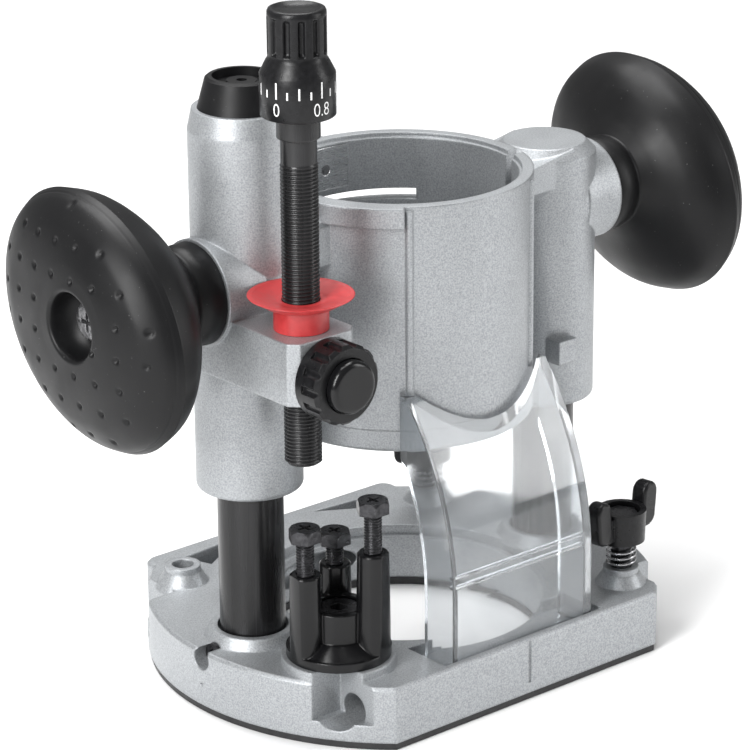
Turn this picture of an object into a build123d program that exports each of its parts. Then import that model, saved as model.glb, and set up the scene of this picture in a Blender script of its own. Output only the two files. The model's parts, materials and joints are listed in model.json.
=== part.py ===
from build123d import *
import os
from math import cos, radians, sin

# Plunge base for a compact router. Millimetres, +Z up, origin on the motor axis at the
# underside of the sole, +X towards the right handle, -Y the straight front edge.

# ---- Driving dimensions ----
MOTOR_R = 32.5          # bore that grips a 65 mm motor
BARREL_WALL = 4.0
BARREL_LOW = 71.0
BARREL_TOP = 140.0
COLUMN_X = 53.8         # half the distance between the guide columns
COLUMN_R = 9.0
HOUSING_R = 14.5
HOUSING_LOW = 62.0
LEFT_TOP = 167.4
RIGHT_TOP = 137.5
BASE_R = 72.0
SOLE_TOP = 2.0
BASE_TOP = 18.0
FRONT_Y = -53.5
BACK_Y = 61.0
OPENING_R = 39.0
ROD_Y = 41.3            # side-fence rod bores, in front of and behind the motor axis
ROD_Z = 9.2
ROD_BORE_R = 4.5
BOSS_X = 46.0           # clamp-screw bosses above the rod bores
GRIP_Z = 120.0
GRIP_R = 35.5           # the brim, before the grip is drawn oval
GRIP_FACE = 70.5        # where each grip meets its boss, from the motor axis
FLARE_R = 14.8          # root of the grip boss, slim enough for the depth pointer to pass
POLE_X = -58.4
POLE_Y = -28.6
POLE_R = 4.95
TURRET_X = -48.0
TURRET_Y = -29.6
TURRET_PITCH_R = 10.4
PAD_TOP = 20.6
RUNNING = 0.05          # radial clearance of a running fit

# ---- Sizes worked out from them, and lesser sizes ----
BARREL_R = MOTOR_R + BARREL_WALL
BUSH_OUTER = COLUMN_R + 2.0
LEFT_COLUMN_TOP = 122.0
RIGHT_COLUMN_TOP = 98.0
COLUMN_FOOT = 4.0
COLUMN_BORE = 6.2
GUIDE_ROD_R = 3.0
GUIDE_HEAD_R = 5.6
HAIR = 0.02             # gap between pieces that are pressed or bolted together
REACH = 90.0            # longer than any half of the base
KNOB_Z = 104.2          # axis of the stopper pole setting knob
KNOB_R = 10.75
BRACKET_FRONT = -38.5
BRACKET_LOW = 98.0
BRACKET_TOP = 115.0
KNOB_BACK = -38.8
KNOB_FACE = -47.2
CLAMP_Y = 42.0
CLAMP_Z = 131.5
LOCK_Z = 81.0
GUARD_X = 25.2
GUARD_FRONT = -50.8
GUARD_WALL = 2.0
GUARD_LOW = 14.3
GUARD_BEND_Z = 34.0
GUARD_BEND_R = 85.0
GUARD_DEPTH = 12.2
GUARD_FOOT_BACK = -38.6
BOLT_AF_R = 4.6         # corner radius of an M5 hexagon head
BOLT_R = 2.5
BOLT_HEAD = 3.6
M6_R = 3.0
POCKET_X = 52.5         # inner wall of the rod pockets
POCKET_FRONT_Y = -35.5
POCKET_BACK_Y = 36.5
POCKET_FLOOR = 7.0
BOSS_R = 5.0
BOSS_TOP = BASE_TOP + 5
SET_SCREW_Z = 15.6
SOLE_SCREW_R = 2.0
BORE_STEP_Z = 77.2      # where the foot of the barrel steps in
SLOT_LOW = 121.0
SLOT_HIGH = 124.0
DETENT_R = 8.0
TROUGH_X = 29.0         # the slot across the base behind the front edge, wider than the guard
NECK_R = 13.2           # where each grip flares out of its neck
NECK_END = 78.8
GRIP_LEAN = 29.08       # direction in which the grips are drawn oval, from +Y towards +Z
GRIP_LONG = 1.087       # stretch of the brim along it
GRIP_SHORT = 0.907      # and across it
GRIP_BACK = 5.159       # how far the brim sits behind its neck's axis
GRIP_DROP = 2.375       # and below it
GRIP_HOLE_R = 8.9
GRIP_SEAT = 102.5       # floor of the hole, where the screw's head bears
GRIP_CORE_R = 12.0
GRIP_CORE_END = 101.0
CORE_TIP_R = 6.0
GRIP_SCREW_R = 2.5
CAP_HEIGHT = 8.4
CAP_RECESS_R = 7.8
LEFT_SEAT = LEFT_TOP - 9   # tops of the column bores, where the guide rods hang
RIGHT_SEAT = RIGHT_TOP - 5
WING_LOW = 31.0
WING_SEAT = 36.5
WING_TOP = 40.2
WING_TURN = 9.7         # the ears' angle from the X axis, as parked
SHANK = 18.5            # stop bolt under its head


def upright(radius, low, high, x=0.0, y=0.0):
    """A vertical cylinder between two heights."""
    return Pos(x, y, (low + high) / 2) * Cylinder(radius, high - low)


def taper(low_r, high_r, low, high, x=0.0, y=0.0):
    """A vertical cone frustum between two heights."""
    return Pos(x, y, (low + high) / 2) * Cone(low_r, high_r, high - low)


def along_x(radius, start, end, y, z):
    """A cylinder parallel to X."""
    return Pos((start + end) / 2, y, z) * Rot(0, 90, 0) * Cylinder(radius, abs(end - start))


def along_y(radius, start, end, x, z):
    """A cylinder parallel to Y."""
    return Pos(x, (start + end) / 2, z) * Rot(90, 0, 0) * Cylinder(radius, abs(end - start))


def block(x0, x1, y0, y1, z0, z1):
    """A box between two corners."""
    middle = Pos((x0 + x1) / 2, (y0 + y1) / 2, (z0 + z1) / 2)
    return middle * Box(abs(x1 - x0), abs(y1 - y0), abs(z1 - z0))


def hexagon(corner_r, low, high, x=0.0, y=0.0):
    """An upright hexagonal prism."""
    return Pos(x, y, low) * extrude(RegularPolygon(corner_r, 6), high - low)


def both_sides(shape):
    """The shape and its mirror image across the YZ plane."""
    return shape + mirror(shape, Plane.YZ)


def polar(radius, degrees, x=0.0, y=0.0):
    """A point in plan at a radius and an angle from a centre."""
    return x + radius * cos(radians(degrees)), y + radius * sin(radians(degrees))


# ---- Base ----
SOLE_SCREWS = [(56.0, 24.0), (56.0, -22.0), (-56.0, 24.0), (-56.0, -19.0)]


def base_outline(margin, low, high):
    """The base in plan: a disc with a straight front, and a squarer back."""
    disc = upright(BASE_R - margin, low, high)
    back = block(-BOSS_X + margin, BOSS_X - margin, 20, REACH, low, high)
    fan = disc + back
    fan = fan & block(-REACH, REACH, FRONT_Y + margin, BACK_Y - margin, low, high)
    corners = [e for e in fan.edges().filter_by(Axis.Z) if e.center().Y > BACK_Y - margin - 1]
    return fillet(corners, 4.0)


def rod_pockets():
    """Corner pockets where the fence rods enter, open to the sides."""
    front = block(-REACH, -POCKET_X, -REACH, POCKET_FRONT_Y, POCKET_FLOOR, PAD_TOP + 5)
    back = block(-REACH, -POCKET_X, POCKET_BACK_Y, REACH, POCKET_FLOOR, BASE_TOP + 2)
    return both_sides(back) + both_sides(front)


def base_casting():
    body = base_outline(0, SOLE_TOP, BASE_TOP)
    top_edges = body.edges().filter_by_position(Axis.Z, BASE_TOP - 0.01, BASE_TOP + 0.01)
    body = chamfer(top_edges, 0.8)
    body = body + upright(15.5, BASE_TOP - 1, PAD_TOP, TURRET_X, TURRET_Y)
    body = body & base_outline(0, SOLE_TOP, PAD_TOP + 6)
    body = body - upright(OPENING_R + 0.4, 0, REACH)
    body = body - upright(OPENING_R + 1.8, BASE_TOP - 3, REACH)
    for side in (-1, 1):
        foot = taper(14.0, 11.6, BASE_TOP - 1, BASE_TOP + 3, side * COLUMN_X, 0)
        body = body + foot - (upright(COLUMN_R + 0.7, BASE_TOP, REACH, side * COLUMN_X, 0))
    body = body - rod_pockets()
    for x, y in ((-BOSS_X, ROD_Y), (BOSS_X, ROD_Y), (BOSS_X, -ROD_Y)):
        body = body + taper(8.2, 5.2, BASE_TOP - 1.5, BASE_TOP + 3.2, x, y)
        body = body + upright(BOSS_R, BASE_TOP - 1, BOSS_TOP, x, y)
        body = body - upright(M6_R + RUNNING, ROD_Z, REACH, x, y)
    for y in (-ROD_Y, ROD_Y):
        body = body - along_x(ROD_BORE_R, -REACH, REACH, y, ROD_Z)
    for side in (-1, 1):
        body = body - upright(COLUMN_R + HAIR, COLUMN_FOOT, REACH, side * COLUMN_X, 0)
        body = body - upright(3.0 + HAIR, 0, REACH, side * COLUMN_X, 0)
        body = body - upright(5.6, 0, 3.0, side * COLUMN_X, 0)
        body = body - along_x(3.2, side * (COLUMN_X + COLUMN_R), side * REACH, 0, SET_SCREW_Z)
        body = body - along_x(0.5, side * (BASE_R - 0.5), side * (BASE_R + 1), 0, 8)
    body = body - block(-0.5, 0.5, FRONT_Y - 1, FRONT_Y + 0.5, 5, BASE_TOP + 1)
    trough = block(-TROUGH_X, TROUGH_X, FRONT_Y + 2.3, -36, GUARD_LOW, BASE_TOP + 1)
    body = body - trough
    for side in (-1, 1):
        wedge = Polyline((side * 14, 56), (side * 36, 54), (side * 33, 45), close=True)
        body = body - Pos(0, 0, 8) * extrude(make_face(wedge), BASE_TOP)
    for x, y in SOLE_SCREWS:
        body = body - upright(SOLE_SCREW_R + HAIR, 0, 12.5, x, y)
    body = body - upright(3.0 + HAIR, 5, REACH, TURRET_X, TURRET_Y)
    body = body - upright(2.2, 11, REACH, *polar(DETENT_R, 0, TURRET_X, TURRET_Y))
    return body


def base_plate():
    plate = base_outline(0.5, 0, SOLE_TOP)
    plate = plate - upright(OPENING_R, -1, REACH)
    for x, y in SOLE_SCREWS:
        plate = plate - upright(SOLE_SCREW_R + HAIR, -1, REACH, x, y)
        plate = plate - upright(4.0 + HAIR, -1, 1.5, x, y)
    for side in (-1, 1):
        plate = plate - upright(5.7, -1, REACH, side * COLUMN_X, 0)
    return plate


def base_plate_screws():
    screws = []
    for x, y in SOLE_SCREWS:
        screw = upright(SOLE_SCREW_R, 0.5, 12.0, x, y) + upright(4.0, 0.4, 1.5, x, y)
        screws.append(screw - block(x - 3, x + 3, y - 0.5, y + 0.5, 0.3, 0.9))
    return Compound(children=screws)


def column(side, top):
    """A guide column: a steel tube closed at its foot."""
    x = side * COLUMN_X
    tube = upright(COLUMN_R, COLUMN_FOOT, top, x)
    tube = chamfer(tube.edges().group_by(Axis.Z)[-1], 0.8)
    tube = tube - upright(COLUMN_BORE, COLUMN_FOOT + 6, REACH * 2, x)
    return tube - upright(3.0 + HAIR, 0, COLUMN_FOOT + 5, x)


def column_bolts():
    bolts = []
    for side in (-1, 1):
        x = side * COLUMN_X
        bolt = upright(3.0, 0.6, COLUMN_FOOT + 4.5, x) + upright(5.4, 0.5, 2.9, x)
        bolts.append(bolt - hexagon(2.3, 0, 2.2, x))
    return Compound(children=bolts)


def column_set_screws():
    screws = []
    for side in (-1, 1):
        start = side * (COLUMN_X + COLUMN_R + 0.1)
        screw = along_x(3.15, start, start + side * 5, 0, SET_SCREW_Z)
        socket = Pos(start + side * 3, 0, SET_SCREW_Z) * Rot(0, side * 90, 0)
        screws.append(screw - socket * extrude(RegularPolygon(1.7, 6), 3))
    return Compound(children=screws)


def column_stop_collars():
    collars = []
    for side, top in ((-1, LEFT_COLUMN_TOP), (1, RIGHT_COLUMN_TOP)):
        x = side * COLUMN_X
        collar = upright(COLUMN_BORE - HAIR, top - 6, top - 1, x)
        collars.append(collar - upright(GUIDE_ROD_R + RUNNING, 0, REACH * 2, x))
    return Compound(children=collars)


def guard_profile(front, bend_r, low, high):
    """Side view of the guard's front: upright, then leaning back on one arc."""
    rise = high - GUARD_BEND_Z
    lean = bend_r - (bend_r ** 2 - rise ** 2) ** 0.5
    upright_run = Line((front, low), (front, GUARD_BEND_Z))
    half = rise / 2
    mid = (front + bend_r - (bend_r ** 2 - half ** 2) ** 0.5, GUARD_BEND_Z + half)
    leaning_run = ThreePointArc((front, GUARD_BEND_Z), mid, (front + lean, high))
    back = Polyline((front + lean, high), (0, high), (0, low), (front, low))
    return make_face([*upright_run.edges(), *leaning_run.edges(), *back.edges()])


def guard_solid(front, bend_r, half_width, low, high):
    profile = Plane.YZ * guard_profile(front, bend_r, low, high)
    return Pos(-half_width, 0, 0) * extrude(profile, 2 * half_width, dir=(1, 0, 0))


def chip_guard():
    """Clear front guard: a leaning window with two side walls, and a double rib inside it."""
    high = 88.0
    wide = GUARD_X + 1
    shell = guard_solid(GUARD_FRONT, GUARD_BEND_R, GUARD_X, GUARD_LOW, high)
    hollow = guard_solid(GUARD_FRONT + GUARD_WALL, GUARD_BEND_R - GUARD_WALL,
                         GUARD_X - GUARD_WALL, GUARD_LOW - 1, high + 1)
    shell = shell - hollow
    behind = guard_solid(GUARD_FRONT + GUARD_DEPTH, GUARD_BEND_R - GUARD_DEPTH,
                         wide, GUARD_BEND_Z + 1, high + 1)
    shell = shell - behind
    shell = shell - block(-wide, wide, GUARD_FOOT_BACK, 2, GUARD_LOW - 1, GUARD_BEND_Z + 2)
    shell = shell - upright(BARREL_R + 1.8, GUARD_BEND_Z, REACH * 2)
    inside = GUARD_FRONT + GUARD_WALL
    for low in (37.8, 40.6):
        shell = shell + block(-GUARD_X + 1, GUARD_X - 1, inside - 0.5, inside + 1.2, low, low + 0.9)
    return shell


def wing_screw(y):
    """The steel clamp screw, its hexagon head sunk in a wing grip."""
    screw = upright(M6_R, 14.2, WING_SEAT + 1, BOSS_X, y)
    screw = screw + upright(4.4, WING_LOW - 1.2, WING_LOW, BOSS_X, y)
    return screw + hexagon(4.9, WING_SEAT + HAIR, WING_SEAT + 2.6, BOSS_X, y)


def wing_grip(y):
    """A plastic cup with two ears, moulded round the screw's head."""
    hub = taper(6.6, 6.9, WING_LOW + HAIR, WING_TOP, BOSS_X, y)
    turn = Pos(BOSS_X, y, 0) * Rot(0, 0, WING_TURN)
    ear = Plane.XZ * (Pos(10.5, 38.8) * SlotCenterToCenter(6.6, 6.4, rotation=84))
    ear = extrude(ear, 2.4, both=True)
    ear = fillet(ear.edges().group_by(Axis.Y)[0] + ear.edges().group_by(Axis.Y)[-1], 1.1)
    ear = ear + block(5.9, 10.5, -2.2, 2.2, 32.6, WING_TOP - 1)
    for side in (0, 180):
        hub = hub + turn * Rot(0, 0, side) * ear
    hub = hub - upright(5.3, WING_SEAT, REACH, BOSS_X, y)
    return hub - upright(M6_R + HAIR, 0, REACH, BOSS_X, y)


def coil_spring(radius, wire, low, high, turns, x, y):
    """An open coil spring, its wire a helix."""
    pitch = (high - low - wire) / turns
    path = Helix(pitch, high - low - wire, radius)
    start = Plane(path @ 0, z_dir=path % 0)
    coil = sweep(start * Circle(wire / 2), path, is_frenet=True)
    return Pos(x, y, low + wire / 2) * coil


def sleeve(outer, inner, low, high, x, y=0.0):
    return upright(outer, low, high, x, y) - upright(inner, low - 1, high + 1, x, y)


# ---- Stopper turret ----
TOWER_ANGLES = {"left": 174.7, "rear": 54.7, "right": -65.3}
TOWER_TOPS = {"left": 46.1, "rear": 42.6, "right": 51.6}
HEAD_LOWS = {"left": 55.6, "rear": 48.1, "right": 62.8}


def tower_place(name):
    return polar(TURRET_PITCH_R, TOWER_ANGLES[name], TURRET_X, TURRET_Y)


def stopper_block():
    """A turning block with three towers of different heights, one for each stop bolt."""
    rim = upright(14.2, PAD_TOP + 0.1, PAD_TOP + 2.6, TURRET_X, TURRET_Y)
    dish = taper(13.4, 9.0, PAD_TOP + 2.6, PAD_TOP + 5.6, TURRET_X, TURRET_Y)
    hub = upright(8.4, PAD_TOP + 2, 34.5, TURRET_X, TURRET_Y)
    body = rim + dish + hub
    for name, top in TOWER_TOPS.items():
        x, y = tower_place(name)
        wide = 4.9 if name == "right" else 4.5
        tower = taper(wide, 4.3, PAD_TOP + 2, top, x, y)
        body = body + chamfer(tower.edges().group_by(Axis.Z)[-1], 0.5)
    body = body & upright(14.2, 0, REACH, TURRET_X, TURRET_Y)
    for name in TOWER_TOPS:
        body = body - upright(BOLT_R + RUNNING, PAD_TOP + 3, REACH, *tower_place(name))
    body = body - upright(3.5 + RUNNING, 0, REACH, TURRET_X, TURRET_Y)
    body = body - upright(6.3, 30.5, REACH, TURRET_X, TURRET_Y)
    groove = sleeve(9.8, 6.2, 0, PAD_TOP + 1.1, TURRET_X, TURRET_Y)
    return body - groove


def turret_pivot_screw():
    shaft = upright(3.0, 6.0, PAD_TOP, TURRET_X, TURRET_Y)
    shoulder = upright(3.5, PAD_TOP, 30.7, TURRET_X, TURRET_Y)
    head = upright(5.8, 30.7, 33.8, TURRET_X, TURRET_Y)
    return shaft + shoulder + head - hexagon(2.4, 31.8, 40, TURRET_X, TURRET_Y)


def stop_bolt(name):
    x, y = tower_place(name)
    low = HEAD_LOWS[name]
    head = hexagon(BOLT_AF_R, low, low + BOLT_HEAD, x, y)
    head = head & taper(BOLT_AF_R + 1.6, BOLT_AF_R - 0.6, low, low + BOLT_HEAD, x, y)
    bolt = head + upright(BOLT_R, low - SHANK, low, x, y)
    cross = block(x - 2.2, x + 2.2, y - 0.5, y + 0.5, low + 1.6, low + 6)
    cross = cross + block(x - 0.5, x + 0.5, y - 2.2, y + 2.2, low + 1.6, low + 6)
    return bolt - cross


# ---- Carriage ----
def grip_boss(side):
    """The flared boss on the outside of a column housing that carries a grip."""
    boss = along_x(14.4, side * COLUMN_X, side * (GRIP_FACE - HAIR), 0, GRIP_Z)
    flare = Pos(side * 62.5, 0, GRIP_Z) * Rot(0, side * 90, 0) * Cone(FLARE_R, 14.4, 9)
    return boss + flare


def clamp_slot():
    """The split that lets the motor clamp close: an upright slit and a level slot."""
    slit_x = -6.0
    slit = block(slit_x - 1, slit_x + 1, 20, REACH, SLOT_LOW, REACH * 2)
    ring = sleeve(REACH / 2, MOTOR_R - 1, SLOT_LOW, SLOT_HIGH, 0)
    sector = Polyline((0, 0), polar(REACH, 41), polar(REACH, 75), polar(REACH, 99.5), close=True)
    level = ring & (Pos(0, 0, 115) * extrude(make_face(sector), 20))
    return slit + level


def carriage_casting():
    body = upright(BARREL_R, BARREL_LOW, BARREL_TOP)
    body = chamfer(body.edges().group_by(Axis.Z)[0], 1.2)
    body = body - sleeve(REACH / 2, BARREL_R - 0.5, BARREL_LOW - 1, BORE_STEP_Z, 0)
    lip = sleeve(BARREL_R + 2.2, BARREL_R - 1, 134.5, BARREL_TOP, 0)
    lip_sector = Polyline((0, 0), polar(REACH, 194), polar(REACH, 213), polar(REACH, 231), close=True)
    body = body + (lip & (Pos(0, 0, 130) * extrude(make_face(lip_sector), 12)))
    for angle in (233.0, 304.0):
        body = body + upright(1.0, 86.0, BARREL_TOP - 1, *polar(BARREL_R, angle))
    for side, top in ((-1, LEFT_TOP), (1, RIGHT_TOP)):
        x = side * COLUMN_X
        housing = upright(HOUSING_R, HOUSING_LOW, top, x)
        rims = housing.edges().group_by(Axis.Z)
        housing = fillet(rims[0], 1.5)
        top_rim = housing.edges().group_by(Axis.Z)[-1]
        if side < 0:
            housing = chamfer(top_rim, length=5.5, length2=1.2)
        else:
            housing = chamfer(top_rim, length=3.0)
        web = block(side * 33, side * COLUMN_X, -8, 8, 76, 132)
        body = body + housing + web + grip_boss(side)
    left_arm = block(-COLUMN_X, -31, -12, 12, 120.5, 136)
    arm_top = Polyline((COLUMN_X, 123), (COLUMN_X, RIGHT_TOP - 0.3), (31, RIGHT_TOP - 4.5))
    arm_side = arm_top + Polyline((31, RIGHT_TOP - 4.5), (31, 123), (COLUMN_X, 123))
    right_arm = extrude(Plane.XZ * make_face(arm_side.edges()), 12.5, both=True)
    right_arm = chamfer(right_arm.edges().filter_by(Axis.X).group_by(Axis.Z)[0], 4)
    body = body + chamfer(left_arm.edges().filter_by(Axis.X), 2.5) + right_arm
    body = body + block(44.5, 51.3, -16.8, -10, 76.3, 83.1)
    bracket = block(POLE_X - 11, POLE_X + 11, BRACKET_FRONT, 0, BRACKET_LOW, BRACKET_TOP)
    upright_edges = bracket.edges().filter_by(Axis.Z).group_by(Axis.Y)[0]
    body = body + chamfer(upright_edges, 2.5)
    body = body + block(-18, 6.5, 30, 49, 125, 138.5)
    body = body + along_y(8.5, 8, 21, COLUMN_X, LOCK_Z)
    body = body - upright(MOTOR_R, 0, REACH * 2)
    body = body - upright(MOTOR_R + 0.8, BARREL_TOP - 1.2, REACH * 2)
    body = body - clamp_slot()
    body = body - shoe_space(HAIR) - along_y(1.5 + HAIR, 30, 36, 1.0, CLAMP_Z)
    body = body - block(27, 36, -12, -8, 120, 150)
    body = body - along_x(3.0 + RUNNING, -30, 20, CLAMP_Y, CLAMP_Z)
    for side, top in ((-1, LEFT_SEAT), (1, RIGHT_SEAT)):
        x = side * COLUMN_X
        body = body - upright(BUSH_OUTER, 0, top, x)
        body = body - upright(3.0 + HAIR, top - 1, top + 4, x)
        body = body - along_x(2.5 + HAIR, side * (GRIP_FACE - 4.6), side * REACH, 0, GRIP_Z)
    body = body - upright(8.4, LEFT_TOP - 2, REACH * 2, -COLUMN_X)
    body = body - upright(POLE_R + RUNNING, BRACKET_LOW - 1, BRACKET_TOP + 1, POLE_X, POLE_Y)
    body = body - block(POLE_X - 7.6, POLE_X + 7.6, -17.5, BRACKET_FRONT - 1, 100.1, 108.3)
    body = body - along_y(5.0 + RUNNING, 8, 30, COLUMN_X, LOCK_Z)
    return body


def shoe_space(gap):
    """The curved recess in the bore for the clamp shoe."""
    ring = sleeve(MOTOR_R + 1.3 + gap, MOTOR_R - 1, 126 - gap, 138 + gap, 0)
    return ring & block(-4.6 - gap, 8 + gap, 20, 40, 120, 145)


def motor_clamp_shoe():
    """A thin machined shoe that bears on the motor."""
    shoe = sleeve(MOTOR_R + 1.3, MOTOR_R + 0.02, 126, 138, 0)
    shoe = shoe & block(-4.6, 8, 20, 40, 120, 145)
    return shoe - along_y(1.5 + HAIR, 30, 40, 1.0, CLAMP_Z)


def clamp_shoe_screw():
    return along_y(1.5, 32.65, 35.8, 1.0, CLAMP_Z)


def bushings(side, spans):
    """Plain bearings pressed into one column housing."""
    x = side * COLUMN_X
    sleeves = []
    for low, high in spans:
        sleeves.append(sleeve(BUSH_OUTER - HAIR, COLUMN_R + RUNNING, low, high, x))
    return Compound(children=sleeves)


def guide_rod(side, column_top, seat):
    """Hangs from the housing top inside the column; its head stops the upstroke."""
    x = side * COLUMN_X
    head_top = column_top - 6.2
    rod = upright(GUIDE_ROD_R, head_top - 1, seat + 3.5, x)
    head = upright(GUIDE_HEAD_R, head_top - 5, head_top, x)
    return rod + head + upright(5.0, seat - 3.0, seat - HAIR, x)


def column_cap():
    """Rubber cap plugged into the top of the left housing."""
    rim = LEFT_TOP + CAP_HEIGHT
    cap = taper(11.8, 9.5, LEFT_TOP + HAIR, rim, -COLUMN_X)
    cap = chamfer(cap.edges().group_by(Axis.Z)[-1], 0.6)
    cap = cap + upright(8.3, LEFT_TOP - 1.8, LEFT_TOP + 1, -COLUMN_X)
    cap = cap - upright(CAP_RECESS_R, rim - 2.4, rim + 1, -COLUMN_X)
    cap = cap + upright(4.0, rim - 3, rim - 1.3, -COLUMN_X)
    return cap - upright(1.4, rim - 3, rim, -COLUMN_X)


# Distance from the motor axis, then radius, from inside the neck over the brim to the face
GRIP_STOPS = [(76.6, 10.6), (79.2, NECK_R), (83.5, 19.4), (87.8, 27.2), (92.9, 33.0), (99.0, GRIP_R),
              (103.1, 33.2), (106.7, 28.5), (108.5, 24.0), (110.2, 17.0), (111.3, 7.0)]


def grip_section(along, radius):
    """An oval across the grip. It is round and centred at the neck, and most oval at the brim."""
    share = min(max((radius - NECK_R) / (GRIP_R - NECK_R), 0.0), 1.0)
    centre = (along, share * GRIP_BACK, GRIP_Z - share * GRIP_DROP)
    long_way = (0, cos(radians(GRIP_LEAN)), sin(radians(GRIP_LEAN)))
    place = Plane(origin=centre, x_dir=long_way, z_dir=(1, 0, 0))
    long_r = radius * (1 + (GRIP_LONG - 1) * share)
    short_r = radius * (1 + (GRIP_SHORT - 1) * share)
    return place * Ellipse(long_r, short_r)


def grip(side):
    """Rubber mushroom grip, oval and set back from its neck, with a recessed screw."""
    knob = loft([grip_section(along, radius) for along, radius in GRIP_STOPS])
    neck = Pos((GRIP_FACE + NECK_END) / 2, 0, GRIP_Z) * Rot(0, 90, 0)
    knob = knob + neck * Cone(14.0, NECK_R + 0.1, NECK_END - GRIP_FACE)
    knob = knob - along_x(GRIP_HOLE_R, GRIP_SEAT, REACH * 2, 0, GRIP_Z)
    knob = knob - along_x(GRIP_CORE_R, GRIP_FACE - 1, GRIP_CORE_END, 0, GRIP_Z)
    knob = knob - along_x(CORE_TIP_R, GRIP_CORE_END - 1, GRIP_SEAT + 1, 0, GRIP_Z)
    return knob if side > 0 else mirror(knob, Plane.YZ)


def grip_core(side):
    """The rigid core that the rubber is moulded on."""
    core = along_x(GRIP_CORE_R - HAIR, GRIP_FACE, GRIP_CORE_END - HAIR, 0, GRIP_Z)
    core = core + along_x(CORE_TIP_R - HAIR, GRIP_CORE_END - 1, GRIP_SEAT, 0, GRIP_Z)
    core = core - along_x(GRIP_SCREW_R + HAIR, GRIP_FACE - 1, GRIP_SEAT + 1, 0, GRIP_Z)
    return core if side > 0 else mirror(core, Plane.YZ)


def grip_screw(side):
    seat = GRIP_SEAT + 0.05
    top = seat + 3.05
    head = along_x(5.4, seat, top, 0, GRIP_Z)
    head = fillet(head.edges().group_by(Axis.X)[-1], 1.4)
    screw = head + along_x(GRIP_SCREW_R, GRIP_FACE - 4.4, seat + 1, 0, GRIP_Z)
    for wide, tall in ((2.6, 0.55), (0.55, 2.6)):
        screw = screw - block(top - 1.6, top + 1, -wide, wide, GRIP_Z - tall, GRIP_Z + tall)
    return screw if side > 0 else mirror(screw, Plane.YZ)


# ---- Depth stop ----
def stopper_pole():
    pole = upright(POLE_R, 78.0, 159.5, POLE_X, POLE_Y)
    pole = chamfer(pole.edges().group_by(Axis.Z)[0], 0.6)
    pole = pole + upright(4.7, 159, 166.5, POLE_X, POLE_Y)
    pole = pole + upright(5.7, 166.2, 172.0, POLE_X, POLE_Y)
    return pole + upright(3.0, 172, 196, POLE_X, POLE_Y)


def adjusting_knob():
    """Fluted knob with a cone and a dial band below it."""
    dial = upright(9.75, 172.2, 183.6, POLE_X, POLE_Y)
    cone = taper(9.75, 7.8, 183.6, 187.1, POLE_X, POLE_Y)
    stem = upright(7.6, 187.0, 200.0, POLE_X, POLE_Y)
    stem = chamfer(stem.edges().group_by(Axis.Z)[-1], 0.7)
    knob = dial + cone + stem
    for n in range(12):
        x, y = polar(8.3, 30 * n, POLE_X, POLE_Y)
        knob = knob - upright(1.2, 188.2, REACH * 3, x, y)
    return knob - upright(3.0 + RUNNING, 100, 196.3, POLE_X, POLE_Y)


def depth_pointer():
    """Dished ring that slides on the pole."""
    collar = upright(7.25, BRACKET_TOP + 0.1, 122.5, POLE_X, POLE_Y)
    flange = taper(9.5, 14.0, 121.6, 124.2, POLE_X, POLE_Y)
    dish = taper(6.5, 13.2, 122.9, 124.3, POLE_X, POLE_Y)
    return collar + flange - dish - upright(POLE_R + 0.1, 100, 130, POLE_X, POLE_Y)


def half_nut():
    """A windowed brass nut: pressed back, its threaded rear wall lets the pole go."""
    nut = block(POLE_X - 7.5, POLE_X + 7.5, -38.4, -20.6, 100.2, 108.2)
    window = block(POLE_X - 5.1, POLE_X + 5.1, -36.6, POLE_Y + POLE_R + RUNNING, 99, 110)
    return nut - window


def setting_knob():
    knob = along_y(KNOB_R, KNOB_BACK, KNOB_FACE, POLE_X, KNOB_Z)
    knob = chamfer(knob.edges().group_by(Axis.Y)[0], 0.9)
    for n in range(14):
        x, z = polar(KNOB_R + 0.5, 360 / 14 * n, POLE_X, KNOB_Z)
        knob = knob - along_y(1.3, -41.2, KNOB_FACE - 1, x, z)
    knob = knob - along_y(7.4, -41.2, KNOB_FACE - 1, POLE_X, KNOB_Z)
    return knob - along_y(3.0 + RUNNING, KNOB_BACK + 1, KNOB_FACE, POLE_X, KNOB_Z)


def feed_button():
    cap = along_y(7.2, -44.3, -50.2, POLE_X, KNOB_Z)
    cap = fillet(cap.edges().group_by(Axis.Y)[0], 1.6)
    return cap + along_y(3.0, -44.4, -38.45, POLE_X, KNOB_Z)


def feed_spring():
    ring = along_y(5.6, -41.3, -44.2, POLE_X, KNOB_Z)
    return ring - along_y(4.4, -41, -45, POLE_X, KNOB_Z)


# ---- Levers ----
def clamp_lever():
    """Lever that closes the motor clamp; it hangs down beside the barrel."""
    hub = along_x(7.0, -18.4, -28.0, CLAMP_Y, CLAMP_Z)
    arm = block(-27.2, -20.4, CLAMP_Y - 3.6, CLAMP_Y + 3.6, 94, CLAMP_Z)
    arm = fillet(arm.edges().filter_by(Axis.X).group_by(Axis.Z)[0], 3.4)
    return hub + arm - along_x(3.0 + HAIR, -40, 0, CLAMP_Y, CLAMP_Z)


def clamp_bolt():
    shaft = along_x(3.0, -28.3, 14.0, CLAMP_Y, CLAMP_Z)
    return shaft + along_x(5.2, -28.05, -31.0, CLAMP_Y, CLAMP_Z)


def clamp_nut():
    turn = Pos(7.6, CLAMP_Y, CLAMP_Z) * Rot(0, 90, 0)
    nut = turn * extrude(RegularPolygon(5.7, 6), 5)
    return nut - along_x(3.0 + RUNNING, 0, 20, CLAMP_Y, CLAMP_Z)


def clamp_washer():
    return along_x(6.0, 6.6, 7.5, CLAMP_Y, CLAMP_Z) - along_x(3.0 + RUNNING, 0, 20, CLAMP_Y, CLAMP_Z)


def lock_pad():
    return along_y(4.9, COLUMN_R + 0.4, 12.0, COLUMN_X, LOCK_Z)


def lock_screw():
    return along_y(5.0, 12.2, 25.0, COLUMN_X, LOCK_Z) - along_y(2.0 + HAIR, 16, 26, COLUMN_X, LOCK_Z)


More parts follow.
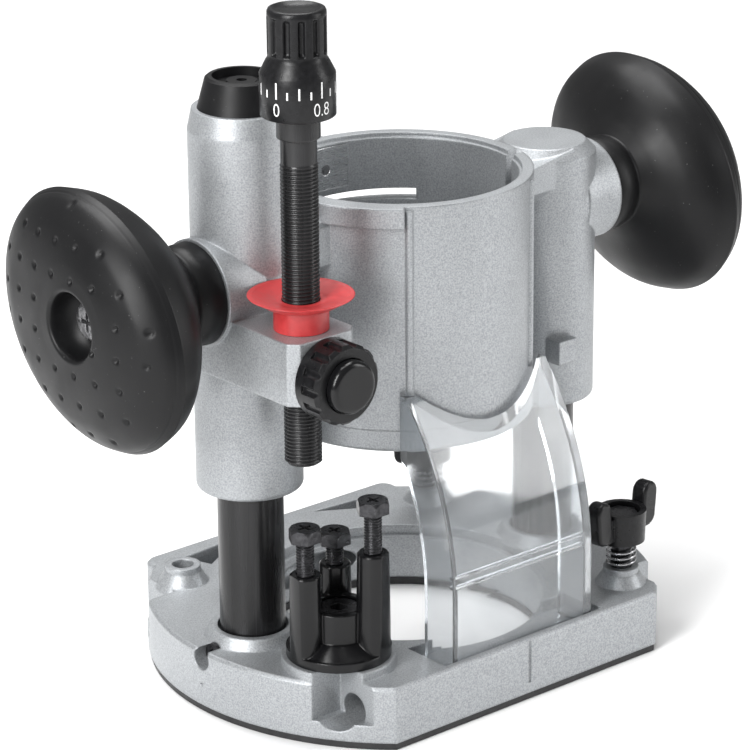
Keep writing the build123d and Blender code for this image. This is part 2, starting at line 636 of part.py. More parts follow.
def lock_lever():
    """Plunge lock lever behind the right housing, pointing up."""
    hub = along_y(8.6, 21.4, 29.0, COLUMN_X, LOCK_Z)
    arm = block(COLUMN_X - 4.6, COLUMN_X + 4.6, 24.2, 29.0, LOCK_Z, LOCK_Z + 42)
    arm = fillet(arm.edges().filter_by(Axis.Y).group_by(Axis.Z)[-1], 4.4)
    lever = hub + arm
    lever = lever - along_y(5.0 + HAIR, 20, 25.02, COLUMN_X, LOCK_Z)
    return lever - along_y(2.2, 20, 30, COLUMN_X, LOCK_Z)


def lock_lever_screw():
    head = along_y(4.2, 29.05, 31.6, COLUMN_X, LOCK_Z)
    screw = head + along_y(2.0, 17.0, 30, COLUMN_X, LOCK_Z)
    return screw - block(COLUMN_X - 3, COLUMN_X + 3, 30.6, 33, LOCK_Z - 0.5, LOCK_Z + 0.5)


PIECES = {
    "base_plate": base_plate(),
    "base_plate_screws": base_plate_screws(),
    "base_casting": base_casting(),
    "left_column": column(-1, LEFT_COLUMN_TOP),
    "right_column": column(1, RIGHT_COLUMN_TOP),
    "column_bolts": column_bolts(),
    "column_set_screws": column_set_screws(),
    "column_stop_collars": column_stop_collars(),
    "left_return_spring": sleeve(5.4, 4.0, COLUMN_FOOT + 6.1, LEFT_COLUMN_TOP - 11.4, -COLUMN_X),
    "right_return_spring": sleeve(5.4, 4.0, COLUMN_FOOT + 6.1, RIGHT_COLUMN_TOP - 11.4, COLUMN_X),
    "chip_guard": chip_guard(),
    "front_wing_screw": wing_screw(-ROD_Y),
    "front_wing_grip": wing_grip(-ROD_Y),
    "front_wing_spring": coil_spring(3.9, 0.8, 23.1, 29.7, 3.5, BOSS_X, -ROD_Y),
    "rear_wing_screw": wing_screw(ROD_Y),
    "rear_wing_grip": wing_grip(ROD_Y),
    "rear_wing_spring": coil_spring(3.9, 0.8, 23.1, 29.7, 3.5, BOSS_X, ROD_Y),
    "stopper_block": stopper_block(),
    "turret_pivot_screw": turret_pivot_screw(),
    "detent_ball": Pos(*polar(DETENT_R, 0, TURRET_X, TURRET_Y), PAD_TOP - 1.2) * Sphere(2.0),
    "detent_spring": sleeve(1.9, 1.3, 11.1, PAD_TOP - 3.3, *polar(DETENT_R, 0, TURRET_X, TURRET_Y)),
    "stop_bolt_left": stop_bolt("left"),
    "stop_bolt_rear": stop_bolt("rear"),
    "stop_bolt_right": stop_bolt("right"),
    "carriage_casting": carriage_casting(),
    "left_bushings": bushings(-1, ((62.5, 80), (101, 121))),
    "right_bushings": bushings(1, ((62.5, 75), (87, 97.5))),
    "left_guide_rod": guide_rod(-1, LEFT_COLUMN_TOP, LEFT_SEAT),
    "right_guide_rod": guide_rod(1, RIGHT_COLUMN_TOP, RIGHT_SEAT),
    "column_cap": column_cap(),
    "left_grip": grip(-1),
    "left_grip_core": grip_core(-1),
    "left_grip_screw": grip_screw(-1),
    "right_grip": grip(1),
    "right_grip_core": grip_core(1),
    "right_grip_screw": grip_screw(1),
    "motor_clamp_shoe": motor_clamp_shoe(),
    "clamp_shoe_screw": clamp_shoe_screw(),
    "clamp_lever": clamp_lever(),
    "clamp_bolt": clamp_bolt(),
    "clamp_nut": clamp_nut(),
    "clamp_washer": clamp_washer(),
    "lock_pad": lock_pad(),
    "lock_screw": lock_screw(),
    "lock_lever": lock_lever(),
    "lock_lever_screw": lock_lever_screw(),
    "stopper_pole": stopper_pole(),
    "adjusting_knob": adjusting_knob(),
    "depth_pointer": depth_pointer(),
    "half_nut": half_nut(),
    "setting_knob": setting_knob(),
    "feed_button": feed_button(),
    "feed_spring": feed_spring(),
}

os.makedirs("parts", exist_ok=True)
for node, shape in PIECES.items():
    export_step(shape, f"parts/{node}.step")
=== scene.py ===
import json
from collections import namedtuple
from math import cos, pi, radians, sin, tau

import bmesh
import bpy
from mathutils import Matrix, Vector


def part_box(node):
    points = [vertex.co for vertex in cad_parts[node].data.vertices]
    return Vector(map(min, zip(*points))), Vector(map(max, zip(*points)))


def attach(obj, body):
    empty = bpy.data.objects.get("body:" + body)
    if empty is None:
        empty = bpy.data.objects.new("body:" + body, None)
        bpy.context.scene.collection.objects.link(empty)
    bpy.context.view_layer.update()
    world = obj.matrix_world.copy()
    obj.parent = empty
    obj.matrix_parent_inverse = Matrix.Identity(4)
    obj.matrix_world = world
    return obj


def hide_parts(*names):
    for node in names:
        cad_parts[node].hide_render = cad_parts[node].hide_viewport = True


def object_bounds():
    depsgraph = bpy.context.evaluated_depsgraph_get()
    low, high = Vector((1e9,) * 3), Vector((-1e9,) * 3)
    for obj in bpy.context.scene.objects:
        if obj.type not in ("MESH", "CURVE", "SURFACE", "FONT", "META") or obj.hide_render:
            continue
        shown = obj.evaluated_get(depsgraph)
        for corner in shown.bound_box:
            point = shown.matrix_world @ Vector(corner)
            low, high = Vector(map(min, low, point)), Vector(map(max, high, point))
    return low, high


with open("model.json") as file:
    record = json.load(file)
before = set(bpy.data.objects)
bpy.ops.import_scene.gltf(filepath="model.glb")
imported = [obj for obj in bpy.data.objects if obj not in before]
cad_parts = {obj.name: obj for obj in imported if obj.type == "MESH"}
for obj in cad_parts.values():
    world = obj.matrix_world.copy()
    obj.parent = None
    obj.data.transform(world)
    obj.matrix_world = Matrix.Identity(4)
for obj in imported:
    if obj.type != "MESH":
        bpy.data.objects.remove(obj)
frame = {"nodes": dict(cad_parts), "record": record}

cad_low, cad_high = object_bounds()
NODES = frame["nodes"]
MM = 0.001


# ---- Camera ----
AZIMUTH = radians(40.81)
ELEVATION = radians(20.20)
ROLL = radians(-0.32)
DISTANCE = 0.99587
AIM = Vector((0.0, 0.0, 0.080))
LENS = 172.67
SENSOR_WIDTH = 36.0
SHIFT = (-0.0342, -0.0005)


def make_camera():
    """A long lens looking down over the front left corner of the base."""
    ahead = Vector((sin(AZIMUTH) * cos(ELEVATION), cos(AZIMUTH) * cos(ELEVATION), -sin(ELEVATION)))
    level = Vector((cos(AZIMUTH), -sin(AZIMUTH), 0.0))
    above = level.cross(ahead)
    right = level * cos(ROLL) + above * sin(ROLL)
    up = above * cos(ROLL) - level * sin(ROLL)
    data = bpy.data.cameras.new("camera")
    data.lens = LENS
    data.sensor_width = SENSOR_WIDTH
    data.shift_x, data.shift_y = SHIFT
    camera = bpy.data.objects.new("camera", data)
    bpy.context.scene.collection.objects.link(camera)
    turn = Matrix((right, up, -ahead)).transposed()
    camera.matrix_world = Matrix.Translation(AIM - ahead * DISTANCE) @ turn.to_4x4()
    bpy.context.scene.camera = camera


# ---- Materials ----
NOISE_LOW = 0.3
NOISE_HIGH = 0.7
BEVEL_SAMPLES = 6


class Finish:
    """A Principled material with helpers that add procedural detail in object space."""

    def __init__(self, name, roughness, metallic=0.0, specular=0.5):
        self.material = bpy.data.materials.new(name)
        self.material.use_nodes = True
        self.tree = self.material.node_tree
        self.shader = self.tree.nodes["Principled BSDF"]
        self.shader.inputs["Roughness"].default_value = roughness
        self.shader.inputs["Metallic"].default_value = metallic
        self.shader.inputs["Specular IOR Level"].default_value = specular
        self.place = self.add("ShaderNodeTexCoord")

    def add(self, kind, **settings):
        node = self.tree.nodes.new(kind)
        for key, value in settings.items():
            setattr(node, key, value)
        return node

    def link(self, source, target):
        self.tree.links.new(source, target)

    def noise(self, scale, detail=2.0, stretch=(1.0, 1.0, 1.0)):
        """Noise with a scale in features per metre, stretched along chosen axes."""
        mapping = self.add("ShaderNodeMapping")
        mapping.inputs["Scale"].default_value = stretch
        self.link(self.place.outputs["Object"], mapping.inputs["Vector"])
        noise = self.add("ShaderNodeTexNoise")
        noise.inputs["Scale"].default_value = scale
        noise.inputs["Detail"].default_value = detail
        self.link(mapping.outputs["Vector"], noise.inputs["Vector"])
        return noise.outputs["Fac"]

    def colour(self, source, dark, light, low=NOISE_LOW, high=NOISE_HIGH):
        """Base colour running from dark to light between two values of the source."""
        ramp = self.add("ShaderNodeValToRGB")
        ramp.color_ramp.elements[0].position = low
        ramp.color_ramp.elements[1].position = high
        ramp.color_ramp.elements[0].color = (*dark, 1.0)
        ramp.color_ramp.elements[1].color = (*light, 1.0)
        self.link(source, ramp.inputs["Fac"])
        self.link(ramp.outputs["Color"], self.shader.inputs["Base Color"])

    def roughness(self, source, low, high):
        """Roughness running from low to high over the usual range of the noise."""
        spread = self.add("ShaderNodeMapRange")
        spread.inputs["From Min"].default_value = NOISE_LOW
        spread.inputs["From Max"].default_value = NOISE_HIGH
        spread.inputs["To Min"].default_value = low
        spread.inputs["To Max"].default_value = high
        self.link(source, spread.inputs["Value"])
        self.link(spread.outputs["Result"], self.shader.inputs["Roughness"])

    def bump(self, source, height, rounding=0.0):
        """Surface relief of a height in metres, over edges rounded by a small radius."""
        bump = self.add("ShaderNodeBump")
        bump.inputs["Strength"].default_value = 1.0
        bump.inputs["Distance"].default_value = height
        self.link(source, bump.inputs["Height"])
        if rounding:
            bevel = self.add("ShaderNodeBevel", samples=BEVEL_SAMPLES)
            bevel.inputs["Radius"].default_value = rounding
            self.link(bevel.outputs["Normal"], bump.inputs["Normal"])
        self.link(bump.outputs["Normal"], self.shader.inputs["Normal"])


def cast_aluminium():
    """Satin die-cast aluminium with a fine speckle."""
    f = Finish("cast_aluminium", 0.42, metallic=0.6)
    f.colour(f.noise(2400, 3), (0.27, 0.283, 0.295), (0.45, 0.465, 0.48))
    f.roughness(f.noise(90, 3), 0.38, 0.48)
    f.bump(f.noise(3000, 2), 0.00006, rounding=0.0008)
    return f.material


def machined_aluminium():
    f = Finish("machined_aluminium", 0.28, metallic=0.95)
    f.colour(f.noise(300, 3, (1, 1, 12)), (0.60, 0.61, 0.62), (0.78, 0.79, 0.80))
    f.roughness(f.noise(400, 2, (1, 1, 10)), 0.22, 0.36)
    f.bump(f.noise(900, 2, (1, 1, 10)), 0.000012, rounding=0.0004)
    return f.material


def black_steel():
    f = Finish("black_steel", 0.26, metallic=0.2, specular=0.4)
    f.colour(f.noise(260, 3, (1, 1, 0.06)), (0.008, 0.008, 0.0085), (0.022, 0.022, 0.023))
    f.roughness(f.noise(500, 2, (1, 1, 0.05)), 0.20, 0.32)
    f.bump(f.noise(900, 2, (1, 1, 0.05)), 0.000008, rounding=0.0003)
    return f.material


def dark_screw():
    f = Finish("dark_screw", 0.30, metallic=0.75)
    f.colour(f.noise(700, 3), (0.020, 0.020, 0.022), (0.060, 0.060, 0.064))
    f.roughness(f.noise(900), 0.24, 0.40)
    f.bump(f.noise(1600), 0.000012, rounding=0.00025)
    return f.material


def worn_screw():
    """A blackened screw head worn bright by the driver."""
    f = Finish("worn_screw", 0.34, metallic=0.9)
    f.colour(f.noise(900, 4), (0.07, 0.07, 0.075), (0.42, 0.42, 0.43))
    f.roughness(f.noise(900), 0.28, 0.44)
    f.bump(f.noise(1600), 0.00002, rounding=0.00025)
    return f.material


def bright_screw():
    f = Finish("bright_screw", 0.25, metallic=1.0)
    f.colour(f.noise(900, 3), (0.50, 0.50, 0.48), (0.66, 0.66, 0.63))
    f.roughness(f.noise(900), 0.20, 0.34)
    f.bump(f.noise(1500), 0.00001, rounding=0.0002)
    return f.material


def rubber():
    """Soft-touch rubber with fine dust."""
    f = Finish("rubber", 0.42, specular=0.22)
    f.colour(f.noise(1500, 1), (0.006, 0.006, 0.0065), (0.10, 0.10, 0.10), 0.76, 0.82)
    f.roughness(f.noise(90, 3), 0.36, 0.48)
    f.bump(f.noise(2600, 2), 0.000012)
    return f.material


def black_plastic():
    f = Finish("black_plastic", 0.32, specular=0.25)
    f.colour(f.noise(800, 3), (0.005, 0.005, 0.0055), (0.010, 0.010, 0.011))
    f.roughness(f.noise(700), 0.26, 0.38)
    f.bump(f.noise(3000, 2), 0.00002, rounding=0.00025)
    return f.material


def gloss_black_plastic():
    f = Finish("gloss_black_plastic", 0.18, specular=0.3)
    f.colour(f.noise(120, 2), (0.003, 0.003, 0.0035), (0.006, 0.006, 0.0065))
    f.roughness(f.noise(200), 0.14, 0.24)
    f.bump(f.noise(300), 0.00001, rounding=0.0006)
    return f.material


def red_plastic():
    f = Finish("red_plastic", 0.40)
    f.colour(f.noise(500, 3), (0.42, 0.030, 0.032), (0.50, 0.042, 0.044))
    f.roughness(f.noise(500), 0.34, 0.46)
    f.bump(f.noise(1800), 0.00001, rounding=0.0003)
    return f.material


def clear_plastic():
    """Clear polycarbonate, hazy from use and faintly uneven from moulding."""
    f = Finish("clear_plastic", 0.06)
    f.colour(f.noise(80, 2), (0.80, 0.83, 0.85), (0.88, 0.90, 0.92))
    f.roughness(f.noise(150, 3), 0.03, 0.09)
    f.bump(f.noise(60, 1), 0.00003)
    f.shader.inputs["Transmission Weight"].default_value = 0.93
    f.shader.inputs["IOR"].default_value = 1.45
    return f.material


def sole_plastic():
    f = Finish("sole_plastic", 0.45)
    f.colour(f.noise(400, 3), (0.008, 0.008, 0.009), (0.020, 0.020, 0.021))
    f.roughness(f.noise(300), 0.38, 0.52)
    f.bump(f.noise(1500), 0.00001, rounding=0.0002)
    return f.material


def brass():
    f = Finish("brass", 0.30, metallic=1.0)
    f.colour(f.noise(500, 3), (0.52, 0.37, 0.14), (0.68, 0.50, 0.22))
    f.roughness(f.noise(600), 0.24, 0.38)
    f.bump(f.noise(1200), 0.000008)
    return f.material


def spring_steel():
    f = Finish("spring_steel", 0.26, metallic=1.0)
    f.colour(f.noise(700, 3), (0.30, 0.30, 0.31), (0.46, 0.46, 0.47))
    f.roughness(f.noise(900), 0.20, 0.34)
    f.bump(f.noise(1500), 0.000006)
    return f.material


def dial_white():
    f = Finish("dial_white", 0.5)
    f.colour(f.noise(900, 2), (0.72, 0.72, 0.72), (0.85, 0.85, 0.85))
    return f.material


FINISHES = {
    "cast_aluminium": cast_aluminium, "machined_aluminium": machined_aluminium,
    "black_steel": black_steel, "dark_screw": dark_screw, "bright_screw": bright_screw,
    "rubber": rubber, "black_plastic": black_plastic, "gloss_black_plastic": gloss_black_plastic,
    "red_plastic": red_plastic, "clear_plastic": clear_plastic, "sole_plastic": sole_plastic,
    "brass": brass, "spring_steel": spring_steel,
}
PAINT = {slot: make() for slot, make in FINISHES.items()}
PAINT["dial_white"] = dial_white()
PAINT["worn_screw"] = worn_screw()
WORN = ("left_grip_screw", "right_grip_screw", "clamp_shoe_screw")


def finish_frame():
    """Every CAD node takes its slot's material from the record, and three worn screws a worn one."""
    for row in frame["record"]["subparts"]:
        mesh = NODES[row["node"]].data
        mesh.materials.clear()
        slot = "worn_screw" if row["node"] in WORN else row["material_slot"]
        mesh.materials.append(PAINT[slot])


# ---- Mesh helpers ----
def piece(name, points, faces, slot, body, stands_for=(), smooth=True, paint=None):
    """A mesh that rides on a body and takes its finish from a slot."""
    mesh = bpy.data.meshes.new(name)
    mesh.from_pydata([tuple(p) for p in points], [], faces)
    mesh.validate()
    mesh.materials.append(PAINT[paint or slot])
    for polygon in mesh.polygons:
        polygon.use_smooth = smooth
    made = bpy.data.objects.new(name, mesh)
    bpy.context.scene.collection.objects.link(made)
    if stands_for:
        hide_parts(*stands_for)
    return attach(made, body)


def lathe(rows, columns, place):
    """Points and faces of a closed surface of revolution, its first and last rows capped."""
    points = [place(row, tau * c / columns) for row in rows for c in range(columns)]
    faces = []
    for r in range(len(rows) - 1):
        for c in range(columns):
            n = (c + 1) % columns
            faces.append((r * columns + c, r * columns + n,
                          (r + 1) * columns + n, (r + 1) * columns + c))
    last = (len(rows) - 1) * columns
    faces.append(tuple(range(columns - 1, -1, -1)))
    faces.append(tuple(range(last, last + columns)))
    return points, faces


def axis_of(node):
    """Where the upright axis through the middle of a CAD node stands, in metres."""
    low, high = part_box(node)
    return (low.x + high.x) / 2, (low.y + high.y) / 2


def around(axis, radius, angle, z):
    """The point at a radius and a height in mm about an upright axis."""
    cx, cy = axis
    return Vector((cx + radius * cos(angle) * MM, cy + radius * sin(angle) * MM, z * MM))


def hermite(stops, steps):
    """A smooth line through stops, each an (along, radius) pair."""
    line = []
    for i in range(len(stops) - 1):
        before = Vector(stops[max(i - 1, 0)])
        start, end = Vector(stops[i]), Vector(stops[i + 1])
        after = Vector(stops[min(i + 2, len(stops) - 1)])
        leave, arrive = (end - before) / 2, (after - start) / 2
        for k in range(steps):
            t = k / steps
            line.append(start * (2 * t**3 - 3 * t**2 + 1) + leave * (t**3 - 2 * t**2 + t)
                        + end * (3 * t**2 - 2 * t**3) + arrive * (t**3 - t**2))
    line.append(Vector(stops[-1]))
    return line


# ---- Grips ----
GRIP_Z = 120.0
NECK_R = 13.2
BRIM_R = 35.5
BRIM_LEAN = radians(29.08)
BRIM_LONG = 1.087
BRIM_SHORT = 0.907
BRIM_BACK = 5.159
BRIM_DROP = 2.375
FACE_FROM = 99.0
SEAM_AT = 101.0
SEAM_HALF_WIDTH = 0.2
SEAM_DEPTH = 0.16
DIMPLE_GRID = 8.5
DIMPLE_Y = -0.6
DIMPLE_Z = 115.3
DIMPLE_NEAREST_HOLE = 9.9
DIMPLE_FARTHEST_OUT = 32.0
DIMPLES_FROM = FACE_FROM + 1
DIMPLE_R = 1.25
DIMPLE_DEPTH = 0.75
GRIP_COLUMNS = 360
NECK = [(70.5, 13.5), (70.9, 13.9), (74.5, 13.7), (77.8, 13.5), (78.0, 13.1)]
FLARE = [(79.2, NECK_R), (81.2, 15.9), (83.5, 19.4), (87.8, 27.2), (92.9, 33.0), (FACE_FROM, BRIM_R)]
FLARE_STEPS = 8
FACE = [(FACE_FROM, BRIM_R), (103.1, 33.2), (106.7, 28.5), (108.5, 24.0), (110.2, 17.0), (111.05, 11.0),
        (111.15, 9.9)]
FACE_STEPS = 16
RECESS_LIP_R = 9.3
RECESS_R = 8.9
RECESS = [(110.95, RECESS_LIP_R), (110.45, 8.95), (108.9, RECESS_R), (102.6, RECESS_R)]


def grip_section():
    """Half section in mm, from the neck round the face into the screw recess."""
    line = NECK + hermite(FLARE, FLARE_STEPS) + hermite(FACE, FACE_STEPS)[1:] + RECESS
    return [tuple(p) for p in line]


def on_oval(radius, angle):
    """A point across the grip: round at the neck, most oval and set back at the brim."""
    share = min(max((radius - NECK_R) / (BRIM_R - NECK_R), 0.0), 1.0)
    long_way = radius * cos(angle) * (1 + (BRIM_LONG - 1) * share)
    short_way = radius * sin(angle) * (1 + (BRIM_SHORT - 1) * share)
    y = long_way * cos(BRIM_LEAN) - short_way * sin(BRIM_LEAN) + share * BRIM_BACK
    z = long_way * sin(BRIM_LEAN) + short_way * cos(BRIM_LEAN) - share * BRIM_DROP
    return y, GRIP_Z + z


def dimple_depth(y, z):
    """How far a point of the face sinks into the nearest dimple of a square grid."""
    near_y = DIMPLE_Y + DIMPLE_GRID * round((y - DIMPLE_Y) / DIMPLE_GRID)
    near_z = DIMPLE_Z + DIMPLE_GRID * round((z - DIMPLE_Z) / DIMPLE_GRID)
    gap = ((y - near_y) ** 2 + (z - near_z) ** 2) ** 0.5
    from_hole = (near_y ** 2 + (near_z - GRIP_Z) ** 2) ** 0.5
    from_middle = ((near_y - BRIM_BACK) ** 2 + (near_z - GRIP_Z + BRIM_DROP) ** 2) ** 0.5
    if gap > DIMPLE_R or from_hole < DIMPLE_NEAREST_HOLE or from_middle > DIMPLE_FARTHEST_OUT:
        return 0.0
    return DIMPLE_DEPTH * (0.5 + 0.5 * cos(pi * gap / DIMPLE_R))


def make_grip(name, side):
    """An oval grip with a seam and a dimpled face; side is -1 at the left and 1 at the right."""
    def place(row, angle):
        along, radius = row
        if abs(along - SEAM_AT) < SEAM_HALF_WIDTH and radius > NECK_R:
            radius -= SEAM_DEPTH
        y, z = on_oval(radius, angle)
        if along > DIMPLES_FROM and radius > RECESS_LIP_R:
            along -= dimple_depth(y, z)
        return Vector((side * along, y, z)) * MM

    points, faces = lathe(grip_section(), GRIP_COLUMNS, place)
    if side > 0:
        faces = [tuple(reversed(f)) for f in faces]
    return piece(name, points, faces, "rubber", "carriage", [name])


# ---- Threads ----
# Heights, pitch, crest radius and depth are in mm; groove is the share of the pitch that the groove takes.
Thread = namedtuple("Thread", "low high pitch crest depth groove")
TURN_STEPS = 8
TIP_R = 0.05

POLE_CREST = 4.95
POLE_ROOT = 4.40
POLE_THREAD = Thread(78.5, 159.4, 1.0, POLE_CREST, POLE_CREST - POLE_ROOT, 0.75)
POLE_COLUMNS = 40
POLE_START = [(78.0, TIP_R), (78.0, 4.2)]
# A plain neck, a collar and the spigot inside the knob. Close rows keep the shading of long faces even.
POLE_END = [(159.6, 4.7), (159.8, 4.7), (166.0, 4.7), (166.2, 4.7), (166.22, 5.5), (166.3, 5.62),
            (166.5, 5.7), (166.7, 5.7), (171.5, 5.7), (171.7, 5.7), (172.0, 5.5), (172.02, 3.0),
            (172.1, 3.0), (195.9, 3.0), (196.0, TIP_R)]

STOP_BOLTS = ("stop_bolt_left", "stop_bolt_rear", "stop_bolt_right")
# The height of the head and its slack are in metres, as the CAD mesh is, and the rest is in mm.
BOLT_HEAD = 0.0036
BOLT_HEAD_SLACK = 0.0001
BOLT_PITCH = 0.8
BOLT_CREST = 2.48
BOLT_THREAD_DEPTH = 0.42
BOLT_END_R = 2.1
BOLT_PLAIN_TIP = 0.5
BOLT_INTO_HEAD = 0.4
BOLT_CLOSING = 0.05
BOLT_COLUMNS = 32


def threaded_rod(axis, start, thread, end, columns):
    """Points and faces of a rod whose thread is a real helix between a plain start and end."""
    turns = (thread.high - thread.low) / thread.pitch
    rows = start + [(thread.low + thread.pitch * k / TURN_STEPS, None)
                    for k in range(int(turns * TURN_STEPS) + 1)] + end

    def place(row, angle):
        z, radius = row
        if radius is None:
            phase = ((z - thread.low) / thread.pitch - angle / tau) % 1.0
            radius = thread.crest - thread.depth * max(0.0, 1.0 - abs(2 * phase - 1) / thread.groove)
        return around(axis, radius, angle, z)

    return lathe(rows, columns, place)


def make_stopper_pole():
    """The depth rod, threaded up to the plain neck under its collar."""
    points, faces = threaded_rod(axis_of("stopper_pole"), POLE_START, POLE_THREAD, POLE_END, POLE_COLUMNS)
    return piece("stopper_pole_threaded", points, faces, "black_steel", "stopper_pole", ["stopper_pole"])


def cad_head(name, head_low):
    """The points and faces of a CAD bolt that lie above its shank."""
    head = bmesh.new()
    head.from_mesh(NODES[name].data)
    shank = [v for v in head.verts if v.co.z < head_low - BOLT_HEAD_SLACK]
    bmesh.ops.delete(head, geom=shank, context="VERTS")
    head.verts.index_update()
    points = [v.co.copy() for v in head.verts]
    faces = [[v.index for v in f.verts] for f in head.faces]
    head.free()
    return points, faces


def make_stop_bolt(name):
    """A stop bolt: the CAD node's own head over a shank with a real thread."""
    low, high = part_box(name)
    head_low = high.z - BOLT_HEAD
    head_points, head_faces = cad_head(name, head_low)
    tip = low.z / MM
    thread = Thread(tip + BOLT_PLAIN_TIP, head_low / MM + BOLT_INTO_HEAD, BOLT_PITCH, BOLT_CREST,
                    BOLT_THREAD_DEPTH, 1.0)
    closing = thread.high + BOLT_CLOSING
    points, faces = threaded_rod(axis_of(name), [(tip, TIP_R), (tip, BOLT_END_R)], thread,
                                 [(closing, BOLT_END_R), (closing, TIP_R)], BOLT_COLUMNS)
    faces += [[i + len(points) for i in f] for f in head_faces]
    return piece(name + "_threaded", points + head_points, faces, "dark_screw", name, [name], smooth=False)


# ---- Adjusting knob and its dial ----
DIAL_R = 9.78
DIAL_LABELS = ("0", "0.8", "0.6", "0.4", "0.2")
DIAL_LABEL_STEP = 72.0
DIAL_FRONT = -163.0
TICKS_PER_LABEL = 4
LABEL_NARROWING = 0.84
LABEL_Z = 175.4
LABEL_SIZE = 4.9
LABEL_THINNING = -0.05
TICK_WIDTH = 0.45
TICK_LOW = 178.4
MAJOR_TICK_TOP = 182.6
MIDDLE_TICK_TOP = 181.4
MINOR_TICK_TOP = 180.4
TICK_COLUMNS = 4

BAND_R = 9.75
STEM_R = 7.6
KNOB_BAND = [(172.2, TIP_R), (172.2, 9.4), (172.5, BAND_R), (183.3, BAND_R), (183.6, 9.62), (186.8, 7.98),
             (187.3, STEM_R), (188.3, STEM_R)]
KNOB_RIM = [(198.4, STEM_R), (199.2, 7.55), (199.8, 7.25), (200.0, 6.8), (200.0, 6.2), (199.7, 6.0),
            (199.7, TIP_R)]
KNOB_COLUMNS = 288
FLUTES = 12
FLUTE_HALF = radians(7.5)
FLUTE_DEPTH = 1.15
FLUTE_LOW = 188.4
FLUTE_HIGH = 198.2
FLUTE_RUN_OUT = 0.8
FLUTE_STEPS = 24


def make_adjusting_knob():
    """The depth knob: a dial band, a cone, and a stem with narrow flutes that run out below its rim."""
    axis = axis_of("adjusting_knob")
    stem = [(FLUTE_LOW + (FLUTE_HIGH - FLUTE_LOW) * k / FLUTE_STEPS, STEM_R)
            for k in range(FLUTE_STEPS + 1)]

    def place(row, angle):
        z, radius = row
        step = tau / FLUTES
        off = abs((angle + step / 2) % step - step / 2)
        if FLUTE_LOW < z < FLUTE_HIGH and off < FLUTE_HALF:
            run_out = min((z - FLUTE_LOW) / FLUTE_RUN_OUT, (FLUTE_HIGH - z) / FLUTE_RUN_OUT, 1.0)
            radius -= FLUTE_DEPTH * run_out * (1 - (off / FLUTE_HALF) ** 4)
        return around(axis, radius, angle, z)

    points, faces = lathe(KNOB_BAND + stem + KNOB_RIM, KNOB_COLUMNS, place)
    return piece("adjusting_knob_fluted", points, faces, "black_plastic", "adjusting_knob",
                 ["adjusting_knob"])


def wrap_on_dial(points):
    """Bends flat artwork (mm across, mm up) round the dial band."""
    axis = axis_of("adjusting_knob")
    return [around(axis, DIAL_R, across / DIAL_R, up) for across, up in points]


def make_dial_marks():
    """The ticks of the dial: long at a label, middling halfway, short between."""
    points, faces = [], []
    tops = {0: MAJOR_TICK_TOP, TICKS_PER_LABEL // 2: MIDDLE_TICK_TOP}

    def tick(centre, top):
        base = len(points)
        for up in (TICK_LOW, top):
            points.extend(wrap_on_dial([(centre - TICK_WIDTH / 2 + TICK_WIDTH * k / TICK_COLUMNS, up)
                                        for k in range(TICK_COLUMNS + 1)]))
        for k in range(TICK_COLUMNS):
            faces.append((base + k, base + k + 1,
                          base + TICK_COLUMNS + 2 + k, base + TICK_COLUMNS + 1 + k))

    for n in range(len(DIAL_LABELS) * TICKS_PER_LABEL):
        angle = radians(DIAL_FRONT + n * DIAL_LABEL_STEP / TICKS_PER_LABEL)
        tick(angle * DIAL_R, tops.get(n % TICKS_PER_LABEL, MINOR_TICK_TOP))
    return piece("adjusting_knob_ticks", points, faces, "black_plastic", "adjusting_knob",
                 paint="dial_white")


def make_dial_label(text, centre):
    """A generic scale number, as flat lettering wrapped on the dial."""
    curve = bpy.data.curves.new("dial_text", "FONT")
    curve.body = text
    curve.size = LABEL_SIZE
    curve.offset = LABEL_THINNING
    curve.align_x = "CENTER"
    curve.align_y = "CENTER"
    flat = bpy.data.objects.new("dial_text", curve)
    bpy.context.scene.collection.objects.link(flat)
    mesh = bpy.data.meshes.new_from_object(flat.evaluated_get(bpy.context.evaluated_depsgraph_get()))
    bpy.data.objects.remove(flat)
    points = wrap_on_dial([(centre + LABEL_NARROWING * v.co.x, LABEL_Z + v.co.y) for v in mesh.vertices])
    faces = [tuple(p.vertices) for p in mesh.polygons]
    bpy.data.meshes.remove(mesh)
    return piece("dial_label_" + text.replace(".", "_"), points, faces, "black_plastic",
                 "adjusting_knob", smooth=False, paint="dial_white")


def make_dial():
    make_adjusting_knob()
    make_dial_marks()
    for n, text in enumerate(DIAL_LABELS):
        make_dial_label(text, radians(DIAL_FRONT + n * DIAL_LABEL_STEP) * DIAL_R)


# ---- Studio ----
FLOOR_HALF = 1.1
FLOOR_GAP = 0.0002
WORLD_LIGHT = 0.30
WHITE = (1.0, 1.0, 1.0, 1.0)
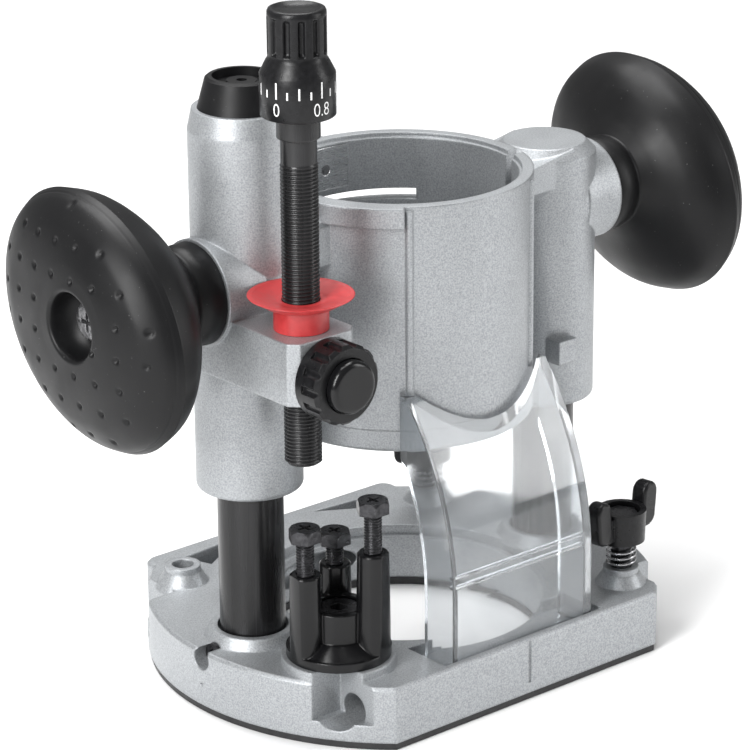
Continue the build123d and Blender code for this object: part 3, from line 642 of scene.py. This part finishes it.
# Name, place, power in watts, and width and height. Each one faces the camera's aim.
SOFTBOXES = [
    ("key_softbox", (-0.95, -0.25, 0.65), 17.0, (0.4, 0.8)),
    ("fill_softbox", (0.9, -0.9, 0.5), 6.0, (0.35, 0.9)),
    ("top_softbox", (0.1, 0.3, 1.1), 15.0, (0.8, 0.8)),
]


def make_floor():
    f = Finish("studio_floor", 0.6)
    f.colour(f.noise(3, 2), (0.86, 0.86, 0.86), (0.90, 0.90, 0.90))
    h = FLOOR_HALF
    mesh = bpy.data.meshes.new("floor")
    mesh.from_pydata([(-h, -h, 0), (h, -h, 0), (h, h, 0), (-h, h, 0)], [], [(0, 1, 2, 3)])
    mesh.materials.append(f.material)
    floor = bpy.data.objects.new("floor", mesh)
    floor.location.z = cad_low.z - FLOOR_GAP
    bpy.context.scene.collection.objects.link(floor)


def softbox(name, place, power, size):
    data = bpy.data.lights.new(name, "AREA")
    data.shape = "RECTANGLE"
    data.size, data.size_y = size
    data.energy = power
    light = bpy.data.objects.new(name, data)
    light.location = place
    light.rotation_euler = (AIM - Vector(place)).to_track_quat("-Z", "Y").to_euler()
    bpy.context.scene.collection.objects.link(light)


def make_studio():
    """A pale floor, an even white surround that the camera sees brighter, and three soft lights."""
    make_floor()
    world = bpy.data.worlds.new("studio")
    bpy.context.scene.world = world
    world.use_nodes = True
    nodes, links = world.node_tree.nodes, world.node_tree.links
    background = nodes["Background"]
    background.inputs["Color"].default_value = WHITE
    background.inputs["Strength"].default_value = WORLD_LIGHT
    backdrop = nodes.new("ShaderNodeBackground")
    backdrop.inputs["Color"].default_value = WHITE
    seen = nodes.new("ShaderNodeLightPath")
    mix = nodes.new("ShaderNodeMixShader")
    links.new(seen.outputs["Is Camera Ray"], mix.inputs["Fac"])
    links.new(background.outputs["Background"], mix.inputs[1])
    links.new(backdrop.outputs["Background"], mix.inputs[2])
    links.new(mix.outputs["Shader"], nodes["World Output"].inputs["Surface"])
    for light in SOFTBOXES:
        softbox(*light)
    bpy.context.scene.view_settings.view_transform = "Standard"


make_camera()
make_studio()
finish_frame()
make_grip("left_grip", -1)
make_grip("right_grip", 1)
make_stopper_pole()
for bolt in STOP_BOLTS:
    make_stop_bolt(bolt)
make_dial()
